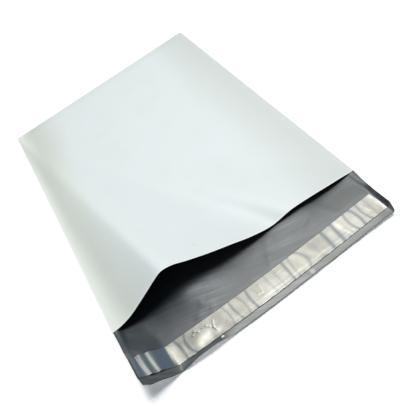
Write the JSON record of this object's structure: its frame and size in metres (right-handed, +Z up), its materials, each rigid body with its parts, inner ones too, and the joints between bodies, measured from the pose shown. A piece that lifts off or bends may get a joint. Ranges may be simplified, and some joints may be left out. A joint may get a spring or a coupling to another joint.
{
  "type": "poly mailer bag",
  "caption": "Empty plastic film mailing bag lying flat, mouth puffed open, with a grey-lined lip that carries a sealing strip under a release liner.",
  "frame": {"origin": "on the ground under the middle of the bag's outline", "axes": "+Z up, +X across the bag to its right, +Y towards the closed end; the lip points to -Y"},
  "size_m": [0.254, 0.386, 0.038],
  "materials": {
    "film": "satin polyethylene film, white outside and silver-grey inside",
    "adhesive": "tacky hot-melt layer",
    "liner": "glossy, wrinkled release film"
  },
  "bodies": {
    "root": {"bag_film": "film", "adhesive_strip": "adhesive", "release_liner": "liner"}
  },
  "joints": []
}
